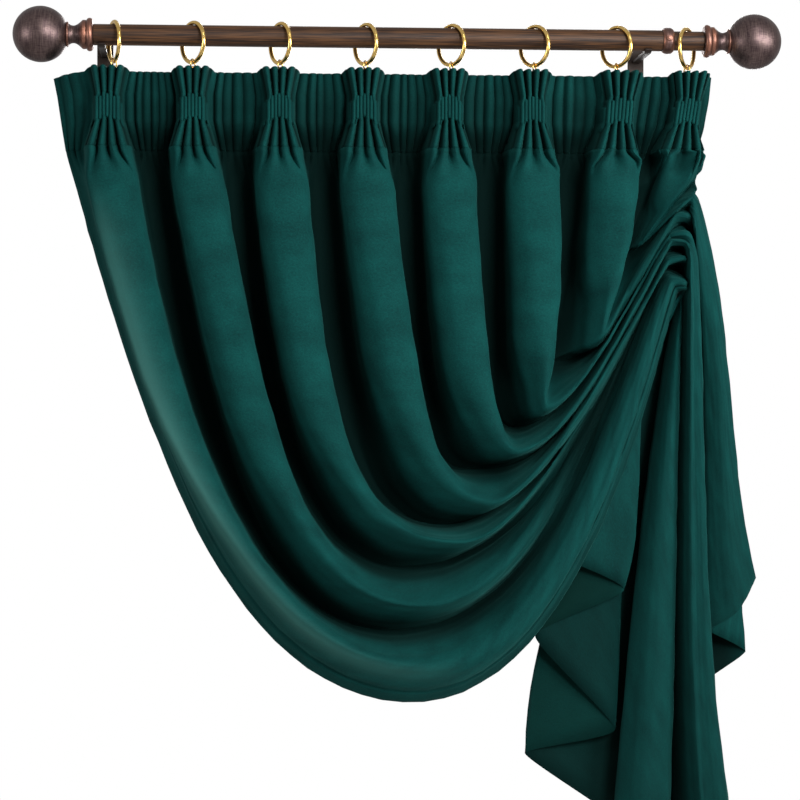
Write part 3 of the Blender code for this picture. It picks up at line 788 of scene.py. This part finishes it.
def swagLine(row, number, v):
    # one fold line: a cubic down from the seam to the belly, and a second up to the gather
    seamX, slant, fall, bellyX, belly, sweep, rise, pull, steep, gatherX, gather, kneeY = row
    start = (seamX, cloth["seam"]), (seamX + slant * fall, cloth["seam"] + fall)
    before = (gatherX - pull * math.cos(steep), gather + pull * math.sin(steep))
    down = bezier((*start, (bellyX - sweep, belly), (bellyX, belly)), np.clip(v * 2, 0, 1))
    up = bezier(((bellyX, belly), (bellyX + rise, belly), before, (gatherX, gather)),
                np.clip(v * 2 - 1, 0, 1))
    flat = np.where((v < 0.5)[:, None], down, up)
    kind = "edge" if number == 0 else ("ridge" if number % 2 else "valley")
    hang = min(1.0, (belly - cloth["seam"]) / depths["fullFall"])
    bunch = min(1.0, (gather - cloth["seam"]) / depths["gatherFall"])
    share = eased(v, (0.0, 0.1, 0.6, 1.0), (1.0, hang, hang, bunch))
    y = rod["y"] + share * (eased(v, depths["at"], depths[kind]) - rod["y"])
    first, last, *early = depths["hidden"]
    sinking = early if first <= number <= last else depths["sinking"]
    sunk = eased(v, sinking, (0, 1))
    y = y * (1 - sunk) + kneeY * sunk
    return np.column_stack([flat[:, 0], y, flat[:, 1]])


def tailLine(row, gather, t):
    # a cubic through four places, settling from the gather's depth to its own
    third, twoThirds, hemX, hemDrop, hemY = row
    a, b, c, d = gather[0], third, twoThirds, hemX
    x = (a * (1 - 3 * t) * (2 - 3 * t) * (1 - t) / 2 + b * 9 * t * (2 - 3 * t) * (1 - t) / 2
         - c * 9 * t * (1 - 3 * t) * (1 - t) / 2 + d * t * (1 - 3 * t) * (2 - 3 * t) / 2)
    y = hemY + (gather[1] - hemY) * (1 - t) ** depths["settle"]
    return np.column_stack([x, y, gather[2] + (hemDrop - gather[2]) * t])


def foldLines(v, t):
    # each line is its swag curve, straight ways over the fold's tip and back, and its tail curve; near the
    # gather points become means of their neighbours, and in the swag a ridge leans to the valley after it
    lines = []
    part = (np.arange(fineness["turnRows"]) + 1)[:, None] / fineness["turnRows"]
    for number, (fold, turn, tail) in enumerate(zip(foldRows, turnRows, tailRows)):
        swag = swagLine(fold, number, v)
        tip, under = (np.array([place[0], place[2], place[1]], float) for place in (turn[:3], turn[3:]))
        over, back = swag[-1] + part * (tip - swag[-1]), tip + part * (under - tip)
        lines.append(np.vstack([swag, over, back, tailLine(tail, under, t)]))
    lines = np.array(lines)
    first = len(v) - 3
    for _ in range(3):
        near = lines[:, first - 1:first + 2 * fineness["turnRows"] + 4]
        near[:, 1:-1] = (near[:, :-2] + 2 * near[:, 1:-1] + near[:, 2:]) / 4
    lean = eased(v, depths["at"], depths["lean"])[:, None]
    for ridge in range(1, len(lines) - 1, 2):
        valley = lines[ridge + 1, :len(v)]
        lines[ridge, :len(v), ::2] += lean * (valley - lines[ridge, :len(v)])[:, ::2]
    return lines


def acrossFolds(lines, at, perFold):
    # the lines are joined across by Hermite curves, whose slope at a line is half the step between its
    # neighbours, times the roundness there: full on the ridges and tight in the valleys
    slope = np.empty_like(lines)
    slope[1:-1] = (lines[2:] - lines[:-2]) / 2
    slope[0], slope[-1] = lines[1] - lines[0], lines[-1] - lines[-2]
    hanging = eased(at, (swagShare, roundness["tailFrom"]), (0, 1))
    slope *= (1 - hanging * (1 - np.array(tailRound)[:, None]))[..., None]
    ridgeOut, ridgeIn, valleyOut, valleyIn = (eased(at, roundness["at"], roundness[side])[:, None]
                                              for side in ("ridgeOut", "ridgeIn", "valleyOut", "valleyIn"))
    s = (np.arange(perFold) / perFold)[:, None, None]
    h00, h10 = 2 * s ** 3 - 3 * s ** 2 + 1, s ** 3 - 2 * s ** 2 + s
    h01, h11 = 3 * s ** 2 - 2 * s ** 3, s ** 3 - s ** 2
    folds = []
    for k in range(len(lines) - 1):
        lead, follow = (ridgeIn, valleyOut) if k % 2 else (valleyIn, ridgeOut)
        folds.append(h00 * lines[k] + h10 * lead * slope[k] + h01 * lines[k + 1]
                     + h11 * follow * slope[k + 1])
    return np.vstack([*folds, lines[-1:]])


def unevenness(flat, wavelengths, turns, shifts):
    # the mean of sine waves that run in many directions over the flat cloth, from about -1 to 1
    total = np.zeros(flat.shape[:2])
    for length, turn, shift in zip(wavelengths, turns, shifts):
        along = flat[..., 0] * math.cos(turn) + flat[..., 1] * math.sin(turn)
        total += np.sin(2 * math.pi / (length * mm) * along + shift)
    return total / len(wavelengths)


def normals(grid):
    # square to the steps along the rows and columns, each one unit long
    made = np.cross(np.gradient(grid, axis=0), np.gradient(grid, axis=1))
    return made / np.maximum(np.linalg.norm(made, axis=2), 1e-9)[..., None]


def pocketShare(y, window, depth):
    # how far a point lies behind the mean of the cloth on both sides of it, as a share of painted shade: 0
    # on a ridge, 1 in a pocket
    rows = np.pad(y, ((window, window), (0, 0)), mode="edge")
    total = np.cumsum(np.vstack([np.zeros((1, y.shape[1])), rows]), axis=0)
    mean = (total[2 * window + 1:] - total[:-2 * window - 1]) / (2 * window + 1)
    return eased((y - mean) / depth + panel["ownShade"], (0, 1), (0, 1))


def sheetOf(name, grid, flat, shares, sides, node):
    # the grid's third number is a drop below the rod's axis, which becomes a height
    places = np.dstack([grid[..., 0], grid[..., 1], rod["rise"] - grid[..., 2]])
    mesh = meshOf(name, places, flat=flat)
    for layer, values in shares.items():
        addShare(mesh, layer, values)
    piece = finished(name, mesh, sides[0], [node], 80)
    mesh.materials.append(sides[1])
    thick = piece.modifiers.new("cloth thickness", "SOLIDIFY")
    thick.material_offset = 1
    thick.thickness = cloth["thick"] * mm
    thick.offset = 0.0
    return piece


def headingGrid(drops, wave):
    # rows are level lines; along one, folds are counted by wave, whole numbers in the gaps between them;
    # a point's depth is that of the cloth behind it, less the swell of its finger, tuck or gather
    levels = np.array(heading["levels"])
    front, back = (eased(drops, levels[:, 0], levels[:, k])[:, None] for k in (2, 3))
    half, left, right, dip = (np.interp(drops, levels[:, 0], levels[:, k])[:, None] for k in (1, 4, 5, 6))
    pleats = np.array([row[2] for row in rings["places"]])
    knots, waves = headingKnots(half[:, 0], pleats)
    x = np.array([np.interp(wave, waves, row) for row in knots])
    offset = x[..., None] - pleats
    nearest = np.abs(offset).argmin(axis=2)
    beside = np.abs(np.take_along_axis(offset, nearest[..., None], 2)[..., 0]) - half
    between = eased(beside / heading["pleatEdge"], (0, 1), (0, 1))
    swell = np.clip(0.5 - 0.5 * np.cos(2 * math.pi * wave) - heading["fingerGap"], 0, 1)
    swell = swell / (1 - heading["fingerGap"])
    fingers = heading["fingerDepth"] * swell ** 0.5
    lobes = heading["gatherDepth"] * pencilFolds(x[len(x) // 2])
    turnBack = np.clip((knots[:, 1:2] - x) / (knots[:, 1:2] - knots[:, :1]), 0, 1) ** 2
    base = front * (1 - between) + back * between
    base = base * (1 - turnBack) + cloth["returnY"] * turnBack
    tuck = (x - pleats[nearest]) / half / 2 * heading["tucks"]
    tuckSwell = (0.5 + 0.5 * np.cos(2 * math.pi * tuck)) ** 0.45
    which = np.floor(tuck + 0.5)
    lower = 1.6 * np.cos(math.pi * which + nearest) + 0.7 * which ** 2  # the outer tucks sit lower
    (top, bottom), edge = heading["band"], heading["bandEdge"]
    band = (eased(drops[:, None] - lower, (top - edge, top + edge), (0, 1))
            * eased(drops[:, None] - lower, (bottom - edge, bottom + edge), (1, 0))) * (1 - between)
    stitched = heading["fingerDepth"] * heading["tuckBase"] + heading["tuckDepth"] * tuckSwell
    y = base - (fingers * (1 - between) * (1 - band) + stitched * band + lobes * between)
    gaps = (1 - swell) * (1 - between)
    # painted shade: darker in the finger gaps, between the tucks, in the gathers' creases, and more so down
    # between the pleats
    fingerShade = 0.95 * gaps ** 1.5 * (1 - band)
    tuckShade = 0.8 * band * (1 - tuckSwell) ** 1.5
    gatherShade = 0.55 * (1 - np.minimum(lobes / heading["gatherDepth"], 1)) ** 2 * between
    rise = dip * (between + turnBack) + 0.8 * gaps * eased(drops, (43, 60), (1, 0))[:, None]
    lowShade = eased(drops, (43, 100, 150), (0.2, 0.45, 0.96))[:, None]
    lowShade = lowShade * np.where(x < knots[:, 1:2], 0.25, 1.0)
    paintedPocketShade = np.clip(fingerShade + tuckShade + gatherShade + lowShade * between, 0, 1)
    return np.dstack([leaned(x, left, right), y, drops[:, None] + rise]), paintedPocketShade


def pencilFolds(x):
    # narrow folds of uneven width and depth, each a rounded swell between two creases
    edges = -80 + np.concatenate([[0], np.cumsum(drawn.uniform(*heading["gatherWidths"], 90))])
    count = np.interp(x, edges, np.arange(len(edges)))
    share = drawn.uniform(0.5, 1.1, len(edges))[np.floor(count).astype(int)]
    return share * np.abs(np.sin(math.pi * count)) ** 0.75


def headingKnots(half, pleats):
    # x of the pleats' two edges and of the heading's ends, each with its count of folds from the left
    knots, waves = [np.full_like(half, foldRows[0][0])], [0]
    for number, pleat in enumerate(pleats):
        knots += [pleat - half, pleat + half]
        waves += [waves[-1] + (heading["gathers"] if number else heading["leftWaves"])]
        waves += [waves[-1] + heading["fingers"]]
    knots.append(np.full_like(half, foldRows[-1][0]))
    return np.column_stack(knots), waves + [waves[-1] + 1]


def waveSteps():
    # finer steps in the pleats than between them
    pieces, at = [], 0
    for number in range(len(rings["places"])):
        gathers = heading["gathers"] if number else heading["leftWaves"]
        for folds, perFold in ((gathers, 10), (heading["fingers"], 16)):
            pieces.append(at + np.arange(folds * perFold) / perFold)
            at += folds
    return np.concatenate([*pieces, at + np.arange(11) / 10])


def makeHeading(face, reverse):
    wave = waveSteps()
    levels = ((43, 76, 14), (76, 82, 9), (82, 108, 10), (108, 114, 9), (114, cloth["seam"], 14))
    drops = np.unique(np.concatenate([np.linspace(*level) for level in levels]))  # finer at the band's edges
    grid, paintedPocketShade = headingGrid(drops, wave)
    across = np.concatenate([[0], np.cumsum(np.linalg.norm(np.diff(grid[0], axis=0), axis=1))])
    flat = np.dstack(np.meshgrid(across, drops - drops[0])) * mm
    piece = sheetOf("pleatedHeading", grid, flat, {"paintedPocketShade": paintedPocketShade}, (reverse, face), "heading")
    return grid


panel = {
    "flatWidth": 1660,
    "seamRows": 30,  # rows of points that are matched to the heading's lower edge
    "broadFall": 75,  # how far down the heading's broad form is kept
    "fineFall": 42,  # and its small folds
    "tucked": (0.4, -1.2),  # the top edge goes in behind the heading's and up
    # the strip sewn along the leading edge: marks down the swag and column of its crease, its depths
    "strip": ((0, 0.5, 0.8, 1), (9, 9, 13, 13)),
    "creaseDepth": 3.2,
    "stripDepth": 2.4,
    "stripFrom": (30, 140),  # drops below the seam over which it begins
    "pucker": 0.55,
    "waves": (55, 75, 95, 130, 170, 210),
    "waveDepth": 1.6,
    "streaks": ((19, 26, 37, 53), (-0.05, 0.04, 0.02, -0.03), (0.0, 1.4, 2.9, 4.1)),
    "pocketDepth": 50,  # mm behind its neighbours where the cloth has full painted shade
    "ownShade": 0.36,  # the painted shade where it is level with them
    "gapShadeLines": (1.8, 2.0, 6.0, 6.25),  # fold lines between which painted shade darkens the cloth where it sinks behind others
    # painted shade along the leading strip's crease, at marks down the swag
    "creaseShade": ((0, 0.3, 0.6, 1), (0.1, 0.3, 0.6, 0.75)),
    # painted highlight along the leading fold: its column, and its share at marks down the swag
    "highlightColumn": 21,
    "highlightShare": ((0, 0.08, 0.2, 0.4, 0.55), (0.1, 0.5, 0.8, 0.5, 0.0)),
}


def meetHeading(grid, seamRow):
    # the top edge takes on the depth of the heading's lower edge, less and less with the fall below the
    # seam: the running mean of the difference fades over a long fall, what is left over a short one
    fall = grid[..., 2] - cloth["seam"]
    rows = np.arange(grid.shape[1]) < panel["seamRows"]
    nearSeam, atSeam = (rows * eased(fall, (0, panel[reach]), (1, 0)) for reach in ("broadFall", "fineFall"))
    gap = np.interp(grid[:, 0, 0], seamRow[:, 0], seamRow[:, 1]) - grid[:, 0, 1]
    broadGap = np.convolve(np.pad(gap, 14, mode="edge"), np.full(29, 1 / 29), mode="valid")
    grid[..., 1] += broadGap[:, None] * nearSeam
    grid[..., 1] += (gap - broadGap)[:, None] * atSeam
    return fall, nearSeam


def panelGrid(seamRow):
    # fold lines joined across; then the seam, the leading strip's crease, puckers along the edge, and
    # waves and streaks that move each point along its normal
    u = np.linspace(0, 1, fineness["swagRows"])
    v = 0.8 * (0.5 - 0.5 * np.cos(math.pi * u)) + 0.2 * u
    s = np.linspace(0, 1, fineness["tailRows"] + 1)[1:]
    turn = np.full(2 * fineness["turnRows"], swagShare)
    at = np.concatenate([v * swagShare, turn, swagShare + s * (1 - swagShare)])
    grid = acrossFolds(foldLines(v, s ** 1.3), at, fineness["perFold"])
    fall, nearSeam = meetHeading(grid, seamRow)
    column = np.arange(len(grid))
    fromCrease = column[:, None] - np.interp(at / swagShare, *panel["strip"])
    crease = np.exp(-(fromCrease / 1.1) ** 2)
    strip = panel["creaseDepth"] * crease - panel["stripDepth"] * eased(fromCrease, (-1, 1), (1, 0))
    inFront = np.concatenate([eased(fall[0, :len(v)], panel["stripFrom"], (0, 1)),
                              np.linspace(1, 0, len(at) - len(v))])
    grid[..., 1] += strip * inFront
    grid[:, 0, 1:] += panel["tucked"]
    steps = np.linalg.norm(np.diff(grid, axis=1), axis=2)
    down = np.pad(np.cumsum(steps, axis=1), ((0, 0), (1, 0)))
    across = np.linspace(0, panel["flatWidth"], len(grid))[:, None] * np.ones_like(down)
    flat = np.dstack([across, down]) * mm
    hanging = eased(at, (swagShare, swagShare + 0.06), (0, 1))
    puckers = np.sin(down[0] / 4.6) + 0.7 * np.sin(down[0] / 7.3 + 1.0)
    grid[:, :, 0] += panel["pucker"] * np.exp(-(column / 5.0) ** 2)[:, None] * puckers * inFront
    waves = unevenness(flat, panel["waves"], drawn.uniform(0, math.pi, 6), drawn.uniform(0, 6.28, 6))
    streaks = unevenness(flat, *panel["streaks"])
    uneven = (panel["waveDepth"] * waves + (0.8 - 0.5 * hanging) * streaks) * (1 - nearSeam)
    return grid + normals(grid) * uneven[..., None], flat, at, hanging, inFront, crease * inFront


def panelShares(y, at, hanging, inFront, crease):
    # shares from 0 to 1: painted shade on the face and on the reverse between the folds, and a painted
    # highlight on the leading fold
    column, down = np.arange(len(y)), at / swagShare
    place = column[:, None] / fineness["perFold"]
    shaded = np.interp(place, tailShade[:, 0], tailShade[:, 1])
    leading = eased(column, (9, 15), (1, 0))[:, None]  # less painted shade where the edge faces the light
    leading = 1 - 0.7 * leading * np.interp(down, (0.35, 0.6), (1, 0))
    darkerToHem = np.interp(at, (swagShare, swagShare + 0.1, 1), (0.0, 0.1, 0.36))  # painted shade, darker towards the hem
    # painted shade in the pockets between the swag's folds, and in the tail from its table
    paintedPocketShade = pocketShare(y, fineness["perFold"], panel["pocketDepth"])
    paintedPocketShade = paintedPocketShade * leading * (1 - hanging) + np.maximum(shaded, darkerToHem) * hanging
    # painted shade where the cloth between those fold lines sinks behind others towards the gather
    gapShade = eased(place, panel["gapShadeLines"][:2], (0, 1)) * eased(place, panel["gapShadeLines"][2:], (1, 0))
    rising = eased(down, (0.62, 0.82), (0, 1)) * (1 - hanging)
    paintedPocketShade = np.maximum(paintedPocketShade, 0.95 * gapShade * rising)
    # painted shade along the leading strip's crease
    paintedPocketShade = np.maximum(paintedPocketShade, crease * np.interp(down, *panel["creaseShade"]))
    # painted highlight, a pale strip along the leading fold
    paintedHighlight = np.exp(-((column - panel["highlightColumn"]) / 5) ** 2)[:, None] * inFront
    paintedHighlight = paintedHighlight * np.interp(down, *panel["highlightShare"])
    return {"paintedPocketShade": paintedPocketShade, "paintedHollowShade": shaded * hanging, "paintedHighlight": paintedHighlight}


def makePanel(face, reverse, seamRow):
    grid, flat, *marks = panelGrid(seamRow)
    shares = panelShares(grid[..., 1], *marks)
    piece = sheetOf("velvetPanel", grid, flat, shares, (face, reverse), "panel")


print("camera and light")
addCamera()
addLights()
addFloor()
print("rod, finials and brackets")
bronzeFinish = brushedBronze()
makeRod()
makeFinials(bronzeFinish)
makeCollar(bronzeFinish)
makeBrackets()
print("rings, eyes and hooks")
makeRings()
print("heading")
velvetFace = pileVelvet("cutPileVelvet", "paintedPocketShade", velvetLook["faceSheen"])
velvetReverse = pileVelvet("velvetReverse", "paintedHollowShade", velvetLook["reverseSheen"])
headingPoints = makeHeading(velvetFace, velvetReverse)
print("panel")
makePanel(velvetFace, velvetReverse, headingPoints[-1])
